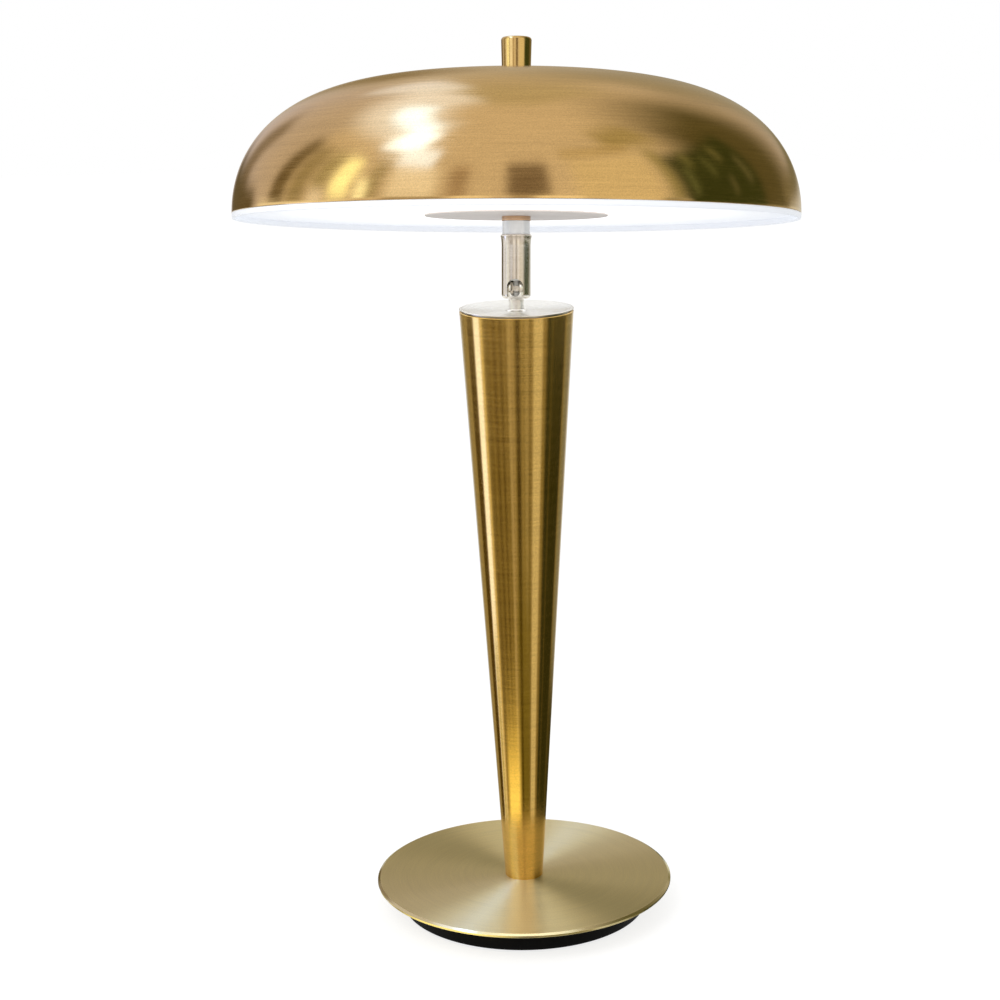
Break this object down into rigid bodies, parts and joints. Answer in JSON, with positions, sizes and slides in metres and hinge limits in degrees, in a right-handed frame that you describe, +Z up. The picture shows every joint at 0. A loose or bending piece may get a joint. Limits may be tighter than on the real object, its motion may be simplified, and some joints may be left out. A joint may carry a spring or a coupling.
{
  "type": "table lamp",
  "caption": "Rechargeable table lamp: spun dome shade with a push-button finial on a slotted ball joint, tapered column, round disc base.",
  "frame": {"origin": "on the table under the middle of the base", "axes": "+Z up; -Y to the front, where the joint's slot faces; +X to the right seen from the front"},
  "size_m": [0.362, 0.359, 0.5803],
  "materials": {
    "brushed_brass_shade": "spun, brushed round the axis, brass-coloured lacquered finish",
    "brushed_brass": "brushed along its length, clear lacquer",
    "brushed_brass_disc": "fine circular brushing, satin, clear lacquer",
    "polished_brass": "polished",
    "satin_nickel": "warm satin nickel plate",
    "steel": "zinc plated",
    "aluminium": "plain",
    "cast_iron": "as cast",
    "black_plastic": "matt black moulding",
    "rubber": "soft foam rubber",
    "foam": "closed-cell foam",
    "battery_foil": "foil pouch",
    "red_insulation": "plain",
    "black_insulation": "plain",
    "white_insulation": "plain",
    "green_board": "solder mask",
    "white_board": "white solder mask on an aluminium core",
    "led_phosphor": "yellow phosphor",
    "white_nylon": "plain",
    "warm_white_paint": "satin paint",
    "opal_acrylic": "opal, lit from behind"
  },
  "bodies": {
    "base": {"foot_pad": "rubber", "bottom_cover": "black_plastic", "cover_screws": "steel", "plinth_housing": "black_plastic", "base_weight": "cast_iron", "battery_foam": "foam", "battery_pack": "battery_foil", "battery_lead": "red_insulation", "charge_board": "green_board", "usb_c_socket": "steel", "base_disc": "brushed_brass_disc", "column_nipple": "steel", "nipple_washer": "steel", "nipple_nut": "steel", "column_plug": "steel", "column": "brushed_brass", "column_cap": "satin_nickel", "swivel_washer": "white_nylon", "column_cable": "black_insulation"},
    "post": {"ball_post": "satin_nickel", "stop_washer": "steel", "post_nut": "steel", "post_cable": "white_insulation"},
    "head": {"joint_sleeve": "satin_nickel", "ball_seat": "white_nylon", "disc_springs": "steel", "stem_tube": "satin_nickel", "stem_collar": "polished_brass", "cover_plate": "warm_white_paint", "diffuser": "opal_acrylic", "hub_spacer": "aluminium", "led_board": "white_board", "leds": "led_phosphor", "carrier_plate": "aluminium", "carrier_screws": "steel", "stem_nut": "steel", "driver_standoffs": "white_nylon", "driver_board": "green_board", "stem_cable": "white_insulation", "switch_cable": "white_nylon", "cage_reducer": "aluminium", "switch_cage": "aluminium", "switch_board": "green_board", "tact_switch": "black_plastic", "shade": "brushed_brass_shade", "shade_nut": "steel", "button_spring": "steel"},
    "button": {"finial_button": "polished_brass", "button_plunger": "white_nylon", "plunger_clip": "steel", "switch_actuator": "red_insulation"}
  },
  "joints": [
    {"name": "swivel", "type": "hinge", "parent": "base", "child": "post", "pos_m": [0, 0, 0.4068], "axis": [0, 0, 1], "range_deg": [-165, 165]},
    {"name": "tilt", "type": "hinge", "parent": "post", "child": "head", "pos_m": [0, 0, 0.42179], "axis": [0.9956, -0.0941, 0], "range_deg": [-3, 99]},
    {"name": "button", "type": "slide", "parent": "head", "child": "button", "axis": [-0.0147, -0.1557, -0.9877], "range_m": [0, 0.0015], "stiffness_N_per_m": 400, "springref_m": -0.003, "deforming": ["button_spring"]}
  ]
}
